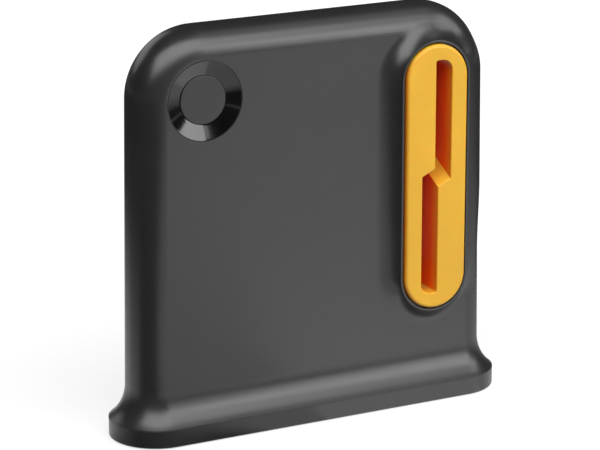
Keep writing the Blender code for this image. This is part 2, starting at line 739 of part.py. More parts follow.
def make_carrier():
    pivot = bpy.data.objects.new("carrier_pivot", None)
    pivot.location = (GUIDE_X, 0.0, GUIDE_Z)
    parts.objects.link(pivot)
    bpy.context.view_layer.update()
    moving = []
    for name, side in (("carrier_front", -1), ("carrier_rear", 1)):
        inner, outer = side * MIDDLE_GAP / 2, side * CARRIER_HALF_DEPTH
        half = rod(name, (GUIDE_X, inner, GUIDE_Z), (GUIDE_X, outer, GUIDE_Z), CARRIER_RADIUS, ORANGE)
        if side < 0:
            lug = guide_box(
                "lug",
                (LUG_X - LUG_WIDTH / 2, outer, -LUG_BOTTOM),
                (LUG_X + LUG_WIDTH / 2, inner, LUG_WIDTH - LUG_TOP),
            )
            join(half, lug)
        for way in (1, -1):
            ends = inner - side * OVERRUN, outer + side * OVERRUN
            cut(half, slot(f"{name}_slot_{way}", way, *ends, CARRIER_SLOT_MARGIN))
            near, far = rod_ends(way)
            shift = (near - far).normalized() * ROD_GAP
            ends = near + shift, far - shift
            cut(half, rod(f"{name}_groove_{way}", *ends, ROD_RADIUS + ROD_GAP, steps=END_STEPS * 2))
        moving.append(smooth(half))
    for name, way in (("sharpening_rod_upper", 1), ("sharpening_rod_lower", -1)):
        near, far = rod_ends(way)
        moving.append(smooth(rod(name, near, far, ROD_RADIUS, CERAMIC, steps=END_STEPS * 2)))
    for part in moving:
        part.parent = pivot
        part.matrix_parent_inverse = pivot.matrix_world.inverted()


make_shell()
make_base()
make_front_guide()
make_rear_guide()
make_carrier()
make_badge()
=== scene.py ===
"""Looks of the table scissor sharpener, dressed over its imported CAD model.

Sizes are in millimetres until MM scales them. +Z points up, and the front with the badge looks along -Y.
A depth is a distance from the middle plane, so it is the same for the front and the rear.
"""

from math import asin, atan, cos, hypot, pi, radians, sin, sqrt

import bmesh
import bpy
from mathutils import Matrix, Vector


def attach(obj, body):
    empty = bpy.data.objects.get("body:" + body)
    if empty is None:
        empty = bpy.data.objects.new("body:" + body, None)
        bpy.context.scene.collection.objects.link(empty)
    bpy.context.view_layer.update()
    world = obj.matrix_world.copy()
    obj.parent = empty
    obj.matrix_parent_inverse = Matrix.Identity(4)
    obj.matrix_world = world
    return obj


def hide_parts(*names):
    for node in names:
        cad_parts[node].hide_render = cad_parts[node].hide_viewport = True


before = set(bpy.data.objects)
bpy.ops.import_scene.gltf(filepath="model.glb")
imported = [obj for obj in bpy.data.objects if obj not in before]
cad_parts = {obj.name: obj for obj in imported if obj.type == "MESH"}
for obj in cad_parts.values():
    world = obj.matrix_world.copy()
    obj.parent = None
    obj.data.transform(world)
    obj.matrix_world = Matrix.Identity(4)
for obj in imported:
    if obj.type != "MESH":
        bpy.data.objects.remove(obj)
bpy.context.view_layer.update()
MM = 0.001

# Housing slab, in the CAD's sizes
SOLE_PROUD = 0.3
HOUSING_HEIGHT = 110.0
HOUSING_TOP = SOLE_PROUD + HOUSING_HEIGHT
SLAB_WIDTH_LOW = 106.0
SLAB_WIDTH_HIGH = 102.5
EDGE_RADIUS = 7.8
HALF_FLAT = 0.5
HALF_THICKNESS = EDGE_RADIUS + HALF_FLAT
CORNER_RADIUS = 18.8
CORNER_Z = HOUSING_TOP - CORNER_RADIUS
INNER_CORNER = CORNER_RADIUS - EDGE_RADIUS
WALL = 2.2

# Foot
RIM_Z = 5.3
FLARE_TOP = 14.6
FOOT_RADIUS = 12.95
FOOT_CORE = 44.45
FLARE_REACH = FOOT_RADIUS - HALF_THICKNESS
FLARE_HEIGHT = FLARE_TOP - RIM_Z
FLARE_ARC = (FLARE_REACH**2 + FLARE_HEIGHT**2) / (2 * FLARE_REACH)
SHELL_END = 5.16
CREASE_HEIGHT = 0.05
CREASE_INSET = 0.02

# Blade guides
GUIDE_X, GUIDE_Z = 33.15, 63.85
GUIDE_RADIUS = 9.25
GUIDE_STRAIGHT = 27.35
GUIDE_ROUND = 0.9
GUIDE_GAP = 0.45
HEAD_BACK = 10.35
SEAT_FLOOR = 10.05
PLUG_RADIUS = 8.9
MIDDLE_GAP = 0.15
FACE = 12.95
LIP = FACE - GUIDE_ROUND

# Raised surround of each guide
LIP_RADIUS = 10.3
LIP_TILT = radians(61.5)
SHOULDER_TILT = radians(20.0)
REACH_LEFT = 6.3
REACH_TOP = 4.7
REACH_BOTTOM = 5.5
REACH_RIGHT_LESS = 0.9
SHOULDER_LOW, SHOULDER_HIGH = 24.0, 60.0
SHOULDER_FROM = 0.55
LIP_FALL = 0.10
LIP_ROUND = 0.10
SIDE_GAP = 0.12
HOLLOW_PULLS = (0.48, 0.28)
SHOULDER_PULLS = (0.41, 0.41)
LANDING_SUNK = 0.008
FOLLOW_REACH = 1.0
FOLLOW_SUNK, FOLLOW_SINKING = 0.02, 0.25
TUCK_REACH, TUCK_DEPTH, LEAST_DEPTH = 1.0, 1.2, 0.3

# Z-shaped slot, measured from the middle of the guide
SLOT_OVERLAP = 0.5
SLOT_REACH = 4.4
SLOT_END = 4.97
SLOT_BEND = 3.0
SLOT_NIP = 0.6
SLOT_ROUND = 0.34
PASSAGE_HIGH = 2.7
PASSAGE_LOW = 0.8
RAMP_SLOPE = (PASSAGE_HIGH - PASSAGE_LOW) / (SLOT_REACH - SLOT_OVERLAP)
RAMP_RISE = 6.475

# Carrier's seat and snap tongues, measured from the middle of the guide
CARRIER_SEAT_RADIUS = 8.0
CARRIER_SEAT_DEPTH = 4.3
LUG_X = 3.2
LUG_HALF_WIDTH = 0.8
LUG_BOTTOM = 9.4
LUG_GAP = 0.12
NOTCH_FLOOR_GAP = 0.3
NOTCH_TOP = 6.5
ROCK_ANGLE = radians(4)
CORE_FLOOR = 2.4
CORE_INNER, CORE_OUTER = 2.4, 7.4
CORE_LOW, CORE_HIGH = 11.0, 27.0
TONGUE_INNER, TONGUE_OUTER = 4.2, 5.6
TONGUE_LOW, TONGUE_HIGH = 15.0, 23.0
TONGUE_ROOT, TONGUE_END = -11.75, 6.0
BARB_OUTER, BARB_START = 6.5, 4.0
CATCH_INNER, CATCH_OUTER = 5.9, 7.9
CATCH_START, CATCH_END = 2.2, 3.7
CATCH_MARGIN = 0.3

# Badge
BADGE_X, BADGE_Z = -33.35, 91.65
BADGE_FLOOR = 6.40
POCKET_FLOOR = 6.3
POCKET_RADIUS = 10.69
RING_INNER, RING_OUTER = 6.55, 10.62
CONE_OUTER, CONE_TOP = 10.46, 8.26
CONE_WIDTH, CONE_FALL = 3.80, 1.46
CAP_RADIUS = 6.45
CAP_ROUND = 0.16
CAP_EDGE = 6.86
CAP_FACE_RADIUS, CAP_FACE = 3.2, 7.04
STEM_RADIUS = 2.0
STEM_GAP = 0.2
STEM_END = 2.75
BACKING_RADIUS = 8.0
BACKING_BACK, BACKING_FRONT = 5.2, 7.5

# Base screws and their posts in the housing
SCREW_PLACES = (-46.3, -14.5, 14.5, 46.3)
SCREW_HOLE = 1.75
POST_RADIUS = 3.3
POST_BOTTOM, POST_TOP = 5.6, 19.1
POST_ROOF = 1.2
RIB_HALF_THICKNESS = 0.6
RIB_HALF_DEPTH = 7.2
RIB_BOTTOM = 7.8

# Base tray and sole
TRAY_ROUND = 0.35
TRAY_BEVEL_LOW, TRAY_TOP = 5.06, 5.11
TRAY_BEVEL = 0.06
TRAY_FLOOR_TOP = 3.1
TRAY_RIB_INNER, TRAY_RIB_OUTER = 7.34, 8.74
TRAY_RIB_BOTTOM, TRAY_RIB_TOP = 3.4, 6.5
TRAY_POST_RADIUS = 3.9
TRAY_POST_BOTTOM, TRAY_POST_TOP = 2.3, 5.3
SCREW_SEAT_BOTTOM = 3.7
HEAD_HOLE, HEAD_HOLE_TOP = 3.0, 4.0
SOLE_CEILING = 1.5
SOLE_SEAT_RADIUS = 11.35
SOLE_RADIUS = 11.2
SOLE_ROUND = 0.3
SOLE_THICKNESS = 1.35

# How far cutters run past what they cut, and how near points are merged
OVERRUN = 1.0
MERGE_DISTANCE = 0.004
MERGE_AFTER_CARVING = 0.002
LEAST_EDGE = 0.001

# Steps that each curve is divided into
SIDE_STEPS = 6
EDGE_STEPS = 16
CORNER_STEPS = 28
FLARE_STEPS = 14
CAVITY_EDGE_STEPS = 8
CAVITY_CORNER_STEPS = 10
STADIUM_STEPS = 64
HOLLOW_STEPS = 18
FOLLOW_STEPS = 8
FOOT_STEPS = 40
POST_STEPS = 40
PLUG_STEPS = 96
SEAT_STEPS = 72
BADGE_STEPS = 128
CONE_STEPS = 12


def half_width(z):
    """Half the slab's width at a height; it narrows a little towards the top."""
    return (SLAB_WIDTH_LOW - (SLAB_WIDTH_LOW - SLAB_WIDTH_HIGH) * (z - SOLE_PROUD) / HOUSING_HEIGHT) / 2


CORNER_X = half_width(CORNER_Z) - CORNER_RADIUS


def add_node(tree, kind, *inputs, **fields):
    """Adds a node whose inputs are numbers or the sockets that feed them, and gives its first output."""
    made = tree.nodes.new(kind)
    for key, value in fields.items():
        setattr(made, key, value)
    for socket, value in zip(made.inputs, inputs):
        if isinstance(value, bpy.types.NodeSocket):
            tree.links.new(value, socket)
        else:
            socket.default_value = value
    return made.outputs[0]


def scaled(colour, factor):
    """A lighter or darker colour."""
    return tuple(min(1.0, c * factor) for c in colour)


class Finish:
    """A Principled material with small helpers for procedural detail in object space."""

    def __init__(self, name, colour, roughness, metallic=0.0):
        self.material = bpy.data.materials.new(name)
        self.material.use_nodes = True
        self.tree = self.material.node_tree
        self.shader = self.tree.nodes["Principled BSDF"]
        self.coordinates = self.tree.nodes.new("ShaderNodeTexCoord").outputs
        self.set("Base Color", (*colour, 1.0))
        self.set("Roughness", roughness)
        self.set("Metallic", metallic)
        self.set("IOR", 1.55)

    def set(self, socket, value):
        self.shader.inputs[socket].default_value = value

    def feed(self, socket, source):
        self.tree.links.new(source, self.shader.inputs[socket])

    def noise(self, scale, detail, rough, stretch=None):
        """Noise whose scale is features per millimetre."""
        made = self.tree.nodes.new("ShaderNodeTexNoise")
        made.inputs["Scale"].default_value = scale / MM
        made.inputs["Detail"].default_value = detail
        made.inputs["Roughness"].default_value = rough
        place = self.coordinates["Object"]
        if stretch:
            mapping = self.tree.nodes.new("ShaderNodeMapping")
            mapping.inputs["Scale"].default_value = stretch
            self.tree.links.new(place, mapping.inputs["Vector"])
            place = mapping.outputs["Vector"]
        self.tree.links.new(place, made.inputs["Vector"])
        return made.outputs["Fac"]

    def ramp(self, value, low, high, to_low=0.0, to_high=1.0):
        return add_node(self.tree, "ShaderNodeMapRange", value, low, high, to_low, to_high)

    def math(self, kind, *values):
        return add_node(self.tree, "ShaderNodeMath", *values, operation=kind)

    def weigh(self, first, share, second):
        """The mean of two values, in which the first counts by its share."""
        rest = self.math("MULTIPLY", second, 1 - share)
        return self.math("ADD", self.math("MULTIPLY", first, share), rest)

    def mix(self, factor, a, b):
        """A colour between a and b, which are tuples or sockets."""
        made = self.tree.nodes.new("ShaderNodeMix")
        made.data_type = "RGBA"
        # This node's colours are its inputs 6 and 7 and its output 2
        self.tree.links.new(factor, made.inputs[0])
        for socket, value in ((made.inputs[6], a), (made.inputs[7], b)):
            if isinstance(value, tuple):
                socket.default_value = (*value, 1.0)
            else:
                self.tree.links.new(value, socket)
        return made.outputs[2]

    def axis(self, coordinate, letter):
        """One axis of the Object or Normal coordinate."""
        made = self.tree.nodes.new("ShaderNodeSeparateXYZ")
        self.tree.links.new(self.coordinates[coordinate], made.inputs[0])
        return made.outputs[letter]

    def bump(self, height, distance, strength):
        """Lays a bump over those that are there."""
        made = self.tree.nodes.new("ShaderNodeBump")
        made.inputs["Distance"].default_value = distance * MM
        made.inputs["Strength"].default_value = strength
        self.tree.links.new(height, made.inputs["Height"])
        under = self.shader.inputs["Normal"].links
        if under:
            self.tree.links.new(under[0].from_socket, made.inputs["Normal"])
        self.feed("Normal", made.outputs["Normal"])


def satin_black(name, colour, rough_low, rough_high):
    """Fine spark-eroded grain on a moulded black plastic, with faint handling marks."""
    made = Finish(name, colour, rough_low)
    grain = made.noise(scale=3.2, detail=2.0, rough=0.6)
    patch = made.noise(scale=0.05, detail=3.0, rough=0.55)
    rub = made.noise(scale=0.35, detail=4.0, rough=0.65)
    fine = made.noise(scale=5.5, detail=1.0, rough=0.5)
    shade = made.ramp(made.weigh(grain, 0.6, patch), 0.38, 0.62)
    made.feed("Base Color", made.mix(shade, scaled(colour, 0.86), scaled(colour, 1.16)))
    made.feed("Roughness", made.ramp(made.weigh(patch, 0.5, rub), 0.36, 0.64, rough_low, rough_high))
    made.bump(fine, distance=0.004, strength=0.5)
    made.bump(grain, distance=0.006, strength=0.5)
    return made.material


def gloss_black(name):
    """Polished black plastic with faint smears and hairlines."""
    made = Finish(name, (0.0026, 0.0026, 0.0029), 0.09)
    made.set("Coat Weight", 0.05)
    made.set("Coat Roughness", 0.04)
    smear = made.noise(scale=0.12, detail=3.0, rough=0.6)
    hair = made.noise(scale=0.9, detail=2.0, rough=0.5, stretch=(1.0, 1.0, 14.0))
    wave = made.noise(scale=0.5, detail=2.0, rough=0.5)
    shade = made.ramp(smear, 0.35, 0.65)
    made.feed("Base Color", made.mix(shade, (0.0021, 0.0021, 0.0024), (0.0034, 0.0034, 0.0037)))
    made.feed("Roughness", made.ramp(made.weigh(smear, 0.6, hair), 0.38, 0.62, 0.07, 0.13))
    made.bump(wave, distance=0.004, strength=0.25)
    return made.material


def orange(name):
    """Satin orange plastic, a little translucent, with painted shade: darker red on its rounded edge, deep
    red down the slot's walls.
    """
    face = (0.665, 0.372, 0.021)
    grainy = (0.61, 0.31, 0.015)
    # Painted shade, not the plastic's own colour: the darker red of the rounded edge, then the deep red of
    # the slot's walls
    rounded = (0.560, 0.190, 0.006)
    slot_shade = (0.780, 0.100, 0.002)
    # Depths over which the painted shade sets in, at the rounded edge and on the slot's walls
    edge_shade_depths = (12.93 * MM, 12.20 * MM)
    slot_shade_depths = (12.60 * MM, 9.00 * MM)
    made = Finish(name, face, 0.45)
    made.set("Subsurface Weight", 0.6)
    made.set("Subsurface Scale", 0.9 * MM)
    made.set("Subsurface Radius", (1.0, 0.22, 0.04))
    made.set("Specular IOR Level", 0.35)
    grain = made.noise(scale=3.6, detail=2.0, rough=0.6)
    patch = made.noise(scale=0.06, detail=3.0, rough=0.5)
    depth = made.math("ABSOLUTE", made.axis("Object", "Y"))
    # Where the painted shade goes: 1 on walls, and little where the surface faces up
    wall = made.ramp(made.axis("Normal", "Z"), 0.25, 0.65, 1.0, 0.1)
    patchy = made.mix(made.ramp(patch, 0.35, 0.65), scaled(face, 0.965), scaled(face, 1.03))
    top = made.mix(made.ramp(grain, 0.3, 0.7, 0.0, 0.05), patchy, grainy)
    # Painted shade: the colour turns darker and redder towards the rounded edge of the face
    edge = made.mix(made.ramp(depth, *edge_shade_depths), top, rounded)
    # Painted shade: deep red on the walls, growing further into the slot
    below = made.math("MULTIPLY", made.ramp(depth, *slot_shade_depths), wall)
    made.feed("Base Color", made.mix(below, made.mix(wall, top, edge), slot_shade))
    made.feed("Roughness", made.ramp(patch, 0.35, 0.65, 0.42, 0.50))
    made.bump(grain, distance=0.005, strength=0.4)
    return made.material


def rubber(name):
    """Matt black rubber with a little dust in it."""
    made = Finish(name, (0.018, 0.018, 0.018), 0.85)
    grain = made.noise(scale=2.0, detail=3.0, rough=0.6)
    dust = made.noise(scale=0.2, detail=4.0, rough=0.6)
    dusty = made.ramp(dust, 0.4, 0.75)
    made.feed("Base Color", made.mix(dusty, (0.014, 0.014, 0.014), (0.032, 0.031, 0.029)))
    made.feed("Roughness", made.ramp(dust, 0.3, 0.7, 0.78, 0.93))
    made.bump(grain, distance=0.05, strength=0.6)
    return made.material


def ceramic(name):
    """Ground white ceramic, greyed by steel where blades have run."""
    made = Finish(name, (0.80, 0.78, 0.72), 0.55)
    grain = made.noise(scale=6.0, detail=2.0, rough=0.6)
    grey = made.noise(scale=0.5, detail=4.0, rough=0.6)
    worn = made.ramp(grey, 0.45, 0.7)
    made.feed("Base Color", made.mix(worn, (0.82, 0.80, 0.74), (0.55, 0.54, 0.52)))
    made.feed("Roughness", made.ramp(grey, 0.4, 0.7, 0.62, 0.45))
    made.bump(grain, distance=0.01, strength=0.6)
    return made.material


def steel(name, colour, rough):
    """Drawn or plated steel with fine brushing."""
    made = Finish(name, colour, rough, metallic=1.0)
    brush = made.noise(scale=1.2, detail=3.0, rough=0.6, stretch=(1.0, 1.0, 9.0))
    blotch = made.noise(scale=0.3, detail=3.0, rough=0.6)
    shade = made.ramp(blotch, 0.35, 0.65)
    made.feed("Base Color", made.mix(shade, scaled(colour, 0.85), scaled(colour, 1.1)))
    made.feed("Roughness", made.ramp(brush, 0.3, 0.7, rough - 0.05, rough + 0.12))
    made.bump(brush, distance=0.008, strength=0.4)
    return made.material


BODY_BLACK = satin_black("body_satin_black", (0.0160, 0.0160, 0.0168), 0.27, 0.33)
BASE_BLACK = satin_black("base_satin_black", (0.0160, 0.0160, 0.0168), 0.30, 0.38)
CAP_BLACK = satin_black("cap_satin_black", (0.0140, 0.0140, 0.0148), 0.34, 0.42)
RING_BLACK = gloss_black("ring_gloss_black")
GUIDE_ORANGE = orange("guide_orange")
SOLE_RUBBER = rubber("sole_rubber")
ROD_CERAMIC = ceramic("rod_ceramic")
SCREW_ZINC = steel("screw_zinc", (0.52, 0.52, 0.53), 0.30)
RETAINER_STEEL = steel("retainer_steel", (0.45, 0.45, 0.46), 0.25)


def solid(name, points, faces):
    """A closed mesh from points in millimetres; normals are made to face outward."""
    mesh = bpy.data.meshes.new(name)
    mesh.from_pydata([tuple(c * MM for c in p) for p in points], [], [tuple(f) for f in faces])
    bm = bmesh.new()
    bm.from_mesh(mesh)
    bmesh.ops.remove_doubles(bm, verts=bm.verts, dist=MERGE_DISTANCE * MM)
    bmesh.ops.recalc_face_normals(bm, faces=bm.faces)
    bm.to_mesh(mesh)
    bm.free()
    made = bpy.data.objects.new(name, mesh)
    bpy.context.scene.collection.objects.link(made)
    return made


def bridge(faces, before, after):
    """Adds the faces between two closed rings of point numbers."""
    for i in range(len(before)):
        j = (i + 1) % len(before)
        faces.append((before[i], before[j], after[j], after[i]))


def loft(name, rings, closed=False):
    """A skin through rings of equal count, with flat ends, or closed by running on to the first ring."""
    count = len(rings[0])
    numbers = [range(r * count, (r + 1) * count) for r in range(len(rings))]
    faces = []
    for before, after in zip(numbers, numbers[1:]):
        bridge(faces, before, after)
    if closed:
        bridge(faces, numbers[-1], numbers[0])
    else:
        faces += [numbers[0], numbers[-1]]
    return solid(name, [p for ring in rings for p in ring], faces)


def circle(steps):
    """Cosine and sine round a full turn."""
    return [(cos(2 * pi * k / steps), sin(2 * pi * k / steps)) for k in range(steps)]


def quarter_arc(steps):
    """Cosine and sine along a quarter turn, both ends included."""
    return [(cos(pi / 2 * k / steps), sin(pi / 2 * k / steps)) for k in range(steps + 1)]


def post(name, x, bottom, top, radius):
    """An upright round bar on the middle plane."""
    ring = [(x + radius * a, radius * b) for a, b in circle(POST_STEPS)]
    return loft(name, [[(px, py, z) for px, py in ring] for z in (bottom, top)])


def block(name, low, high):
    """A box between two corners."""
    (x0, y0, z0), (x1, y1, z1) = low, high
    corners = [(x0, y0), (x1, y0), (x1, y1), (x0, y1)]
    return loft(name, [[(x, y, z) for x, y in corners] for z in (z0, z1)])


def bake(part):
    """Puts what the part's modifiers make in the place of its mesh."""
    bpy.context.view_layer.update()
    graph = bpy.context.evaluated_depsgraph_get()
    mesh = bpy.data.meshes.new_from_object(part.evaluated_get(graph))
    part.modifiers.clear()
    old = part.data
    part.data = mesh
    bpy.data.meshes.remove(old)


def carve(part, steps):
    """Runs Booleans given as (operation, helper), bakes them and removes the helpers."""
    for operation, helper in steps:
        cut = part.modifiers.new("carve", "BOOLEAN")
        cut.operation = operation
        cut.solver = "EXACT"
        cut.object = helper
    bake(part)
    for _, helper in steps:
        data = helper.data
        bpy.data.objects.remove(helper)
        bpy.data.meshes.remove(data)


def smooth_shading(part, angle):
    """Smooth shading whose normals follow the larger faces, with corners sharper than the angle kept."""
    mesh = part.data
    bm = bmesh.new()
    bm.from_mesh(mesh)
    bmesh.ops.remove_doubles(bm, verts=bm.verts, dist=MERGE_AFTER_CARVING * MM)
    bmesh.ops.dissolve_degenerate(bm, edges=bm.edges, dist=LEAST_EDGE * MM)
    bm.to_mesh(mesh)
    bm.free()
    mesh.shade_smooth()
    mesh.set_sharp_from_angle(angle=radians(angle))
    weigh = part.modifiers.new("weigh", "WEIGHTED_NORMAL")
    weigh.mode = "FACE_AREA"
    weigh.weight = 50
    weigh.keep_sharp = True
    bake(part)


def paint(part, finish):
    """Gives a part one material."""
    part.data.materials.clear()
    part.data.materials.append(finish)
    for face in part.data.polygons:
        face.material_index = 0


def dress(part, node, finish, angle):
    """Finishes a part and puts it in the place of a CAD node of the housing."""
    paint(part, finish)
    smooth_shading(part, angle)
    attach(part, "housing")
    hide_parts(node)


def stadium(spans=1):
    """Places round the guide's middle line as (height, out_x, out_z); spans divide each straight side."""
    places = []
    for side, start in ((1, 0), (-1, pi)):
        for k in range(STADIUM_STEPS + 1):
            a = start + pi * k / STADIUM_STEPS
            places.append((side * GUIDE_STRAIGHT, cos(a), sin(a)))
        for k in range(1, spans):
            places.append((side * GUIDE_STRAIGHT * (1 - 2 * k / spans), -side * 1.0, 0.0))
    return places


def guide_loft(name, profile):
    """A stadium bar along Y from (radius, y) pairs."""
    rings = []
    for radius, y in profile:
        rings.append([(GUIDE_X + radius * a, y, GUIDE_Z + w + radius * b) for w, a, b in stadium()])
    return loft(name, rings)


def badge_circle(radius, depth, steps=BADGE_STEPS):
    """A circle round the badge's axis, on the front."""
    return [(BADGE_X + radius * a, -depth, BADGE_Z + radius * b) for a, b in circle(steps)]


def badge_plug(name, profile):
    """A round bar on the badge's axis from (radius, depth) pairs."""
    return loft(name, [badge_circle(radius, depth, PLUG_STEPS) for radius, depth in profile])


def foot_ring(radius, z):
    """A level outline of the foot."""
    ring = []
    for side in (1, -1):
        for k in range(FOOT_STEPS + 1):
            a = side * -pi / 2 + pi * k / FOOT_STEPS
            ring.append((side * FOOT_CORE + radius * cos(a), radius * sin(a), z))
    return ring


def foot_bar(name, radius, bottom, top):
    """An upright bar with the foot's outline."""
    return loft(name, [foot_ring(radius, z) for z in (bottom, top)])


def edge_section(place, radius, steps):
    """The full-round edge at one place of the inner outline, from the front flat to the rear one."""
    x, z, out_x, out_z = place
    points = []
    for half, start in ((-1, -pi / 2), (1, 0.0)):
        for k in range(steps + 1):
            a = start + pi / 2 * k / steps
            out = radius * cos(a)
            points.append((x + out_x * out, half * HALF_FLAT + radius * sin(a), z + out_z * out))
    return points


def outline_path(corner_steps):
    """The flat's outline as (x, z, out_x, out_z), from the lower left, over the top, to the lower right."""
    tilt = atan((SLAB_WIDTH_LOW - SLAB_WIDTH_HIGH) / 2 / HOUSING_HEIGHT)
    right = [(half_width(FLARE_TOP) - EDGE_RADIUS, FLARE_TOP, 1.0, 0.0)]
    for k in range(1, SIDE_STEPS):
        z = FLARE_TOP + (CORNER_Z - FLARE_TOP) * k / SIDE_STEPS
        right.append((half_width(z) - EDGE_RADIUS, z, cos(tilt), sin(tilt)))
    for k in range(corner_steps + 1):
        a = tilt + (pi / 2 - tilt) * k / corner_steps
        right.append((CORNER_X + INNER_CORNER * cos(a), CORNER_Z + INNER_CORNER * sin(a), cos(a), sin(a)))
    left = [(-x, z, -out_x, out_z) for x, z, out_x, out_z in right]
    return left + right[::-1]


def flare_share(z):
    """0 where the flare leaves the slab, 1 at the rim and below."""
    fall = FLARE_TOP - max(z, RIM_Z)
    return (FLARE_ARC - sqrt(FLARE_ARC**2 - fall**2)) / FLARE_REACH


def slab_over_foot(name, inset, edge_steps, corner_steps, levels):
    """The slab run down through the flare in one skin, inset from the housing's outside.

    Each level is a height below the slab and how far that ring is set back.
    """
    path = outline_path(corner_steps)
    points = [p for place in path for p in edge_section(place, EDGE_RADIUS - inset, edge_steps)]
    count = 2 * (edge_steps + 1)
    starts = range(0, len(points), count)
    # The round edge between the sections, then the front and the rear flat
    faces = []
    for first, second in zip(starts, starts[1:]):
        for k in range(count - 1):
            faces.append((first + k, first + k + 1, second + k + 1, second + k))
    faces += [starts, [start + count - 1 for start in starts]]
    # The slab's lower outline, and the foot's with as many points in the same order
    ring = [*range(count), *reversed(range(starts[-1], starts[-1] + count))]
    slab = [points[i] for i in ring]
    rim = []
    for k in range(count):
        a = -pi / 2 + pi * k / (count - 1)
        rim.append((-FOOT_CORE - (FOOT_RADIUS - inset) * cos(a), (FOOT_RADIUS - inset) * sin(a)))
    rim += [(-x, y) for x, y in rim[::-1]]
    # Each level lies between the two by its share of the flare
    for z, back in levels:
        share = flare_share(z)
        below = range(len(points), len(points) + len(ring))
        for (x0, y0, _), (x1, y1) in zip(slab, rim):
            x, y = x0 + (x1 - x0) * share, y0 + (y1 - y0) * share
            points.append((x * (1 - back / FOOT_CORE), y * (1 - back / FOOT_RADIUS), z))
        bridge(faces, ring, below)
        ring = below
    faces.append(ring)
    return solid(name, points, faces)


def outside(name):
    """The housing's outer skin; a fine crease runs round its lower edge."""
    turn = asin(FLARE_HEIGHT / FLARE_ARC)
    levels = [(FLARE_TOP - FLARE_ARC * sin(turn * k / FLARE_STEPS), 0.0) for k in range(1, FLARE_STEPS + 1)]
    levels += [(RIM_Z - CREASE_HEIGHT, 0.0), (SHELL_END, CREASE_INSET)]
    return slab_over_foot(name, 0.0, EDGE_STEPS, CORNER_STEPS, levels)


def cavity(name):
    """The hollow of the housing, open at the bottom."""
    levels = [(z, 0.0) for z in (12.5, 10.2, 8.0, 6.4, RIM_Z, 3.0)]
    return slab_over_foot(name, WALL, CAVITY_EDGE_STEPS, CAVITY_CORNER_STEPS, levels)


def past_flat(x, z):
    """How far a place lies outside the flat, towards the housing's edge."""
    if z > CORNER_Z and abs(x) > CORNER_X:
        return hypot(abs(x) - CORNER_X, z - CORNER_Z) - INNER_CORNER
    return max(abs(x) - half_width(z) + EDGE_RADIUS, z - HOUSING_TOP + EDGE_RADIUS)


def slab_at(x, z):
    """Depth of the slab's surface and its tilt from the flat."""
    past = min(max(past_flat(x, z), 0.0), EDGE_RADIUS)
    return HALF_FLAT + sqrt(EDGE_RADIUS**2 - past**2), asin(past / EDGE_RADIUS)


def smooth(share):
    """An S-curve from 0 to 1, flat beyond them."""
    share = min(max(share, 0.0), 1.0)
    return share * share * (3 - 2 * share)


def cubic(places, steps):
    """Points of a Bezier curve through four control places, both ends included."""
    points = []
    for k in range(steps + 1):
        t = k / steps
        shares = ((1 - t) ** 3, 3 * t * (1 - t) ** 2, 3 * t * t * (1 - t), t**3)
        points.append(tuple(sum(f * p[i] for f, p in zip(shares, places)) for i in (0, 1)))
    return points


def flank(top, leaving, reach, landed, pulls, steps):
    """A curve from the lip at a tilt to the slab, whose tilt it takes; pulls say how straight each end is."""
    depth, landing = landed
    chord = hypot(reach, top - depth)
    first, last = pulls[0] * chord, pulls[1] * chord
    return cubic([
        (0.0, top),
        (first * cos(leaving), top - first * sin(leaving)),
        (reach - last * cos(landing), depth + last * sin(landing)),
        (reach, depth),
    ], steps)


def surround_run(w, out_x, out_z):
    """Places (reach, depth) from the lip out to the slab: a hollow, or a broad shoulder on the right."""
    x0, z0 = GUIDE_X + out_x * LIP_RADIUS, GUIDE_Z + w + out_z * LIP_RADIUS

    def under(reach, sunk=LANDING_SUNK):
        depth, tilt = slab_at(x0 + out_x * reach, z0 + out_z * reach)
        return depth - sunk, tilt

    # The shoulder's share: none on the left, growing with the height on the right
    rise = smooth((z0 - SHOULDER_LOW) / (SHOULDER_HIGH - SHOULDER_LOW))
    right = smooth((out_x - SHOULDER_FROM) / (1 - SHOULDER_FROM)) * rise
    # How far the shoulder and the hollow reach, and where the hollow's run ends below the slab
    side = half_width(z0) - GUIDE_X - LIP_RADIUS - SIDE_GAP
    upright = REACH_TOP if out_z > 0 else REACH_BOTTOM
    hollow = REACH_LEFT + (upright - REACH_LEFT) * smooth(abs(out_z)) - REACH_RIGHT_LESS * smooth(out_x)
    end = hollow + FOLLOW_REACH + (side - hollow - FOLLOW_REACH) * smooth(out_x / SHOULDER_FROM)
    top = LIP - LIP_FALL * (1 - right)
    inner = flank(top, LIP_TILT, hollow, under(hollow), HOLLOW_PULLS, HOLLOW_STEPS)
    for k in range(1, FOLLOW_STEPS + 1):
        share = k / FOLLOW_STEPS
        reach = hollow + (end - hollow) * share
        inner.append((reach, under(reach, FOLLOW_SUNK + FOLLOW_SINKING * share)[0]))
    outer = flank(top, SHOULDER_TILT, side, under(side), SHOULDER_PULLS, HOLLOW_STEPS + FOLLOW_STEPS)
    run = [(-OVERRUN, LIP), (-LIP_ROUND, LIP), (-0.3 * LIP_ROUND, LIP - 0.3 * (LIP - top))]
    run += [tuple(p + (q - p) * right for p, q in zip(a, b)) for a, b in zip(inner, outer)]
    reach, depth = run[-1]
    return run + [(reach - TUCK_REACH, max(depth - TUCK_DEPTH, LEAST_DEPTH))]


def surround(name):
    """One body through the housing that makes the raised surrounds of both guides."""
    columns = []
    for w, out_x, out_z in stadium(spans=10):
        run = surround_run(w, out_x, out_z)
        x0, z0 = GUIDE_X + out_x * LIP_RADIUS, GUIDE_Z + w + out_z * LIP_RADIUS
        front = [(x0 + out_x * reach, -depth, z0 + out_z * reach) for reach, depth in run]
        columns.append(front + [(x, -y, z) for x, y, z in front[::-1]])
    return loft(name, list(zip(*columns)))


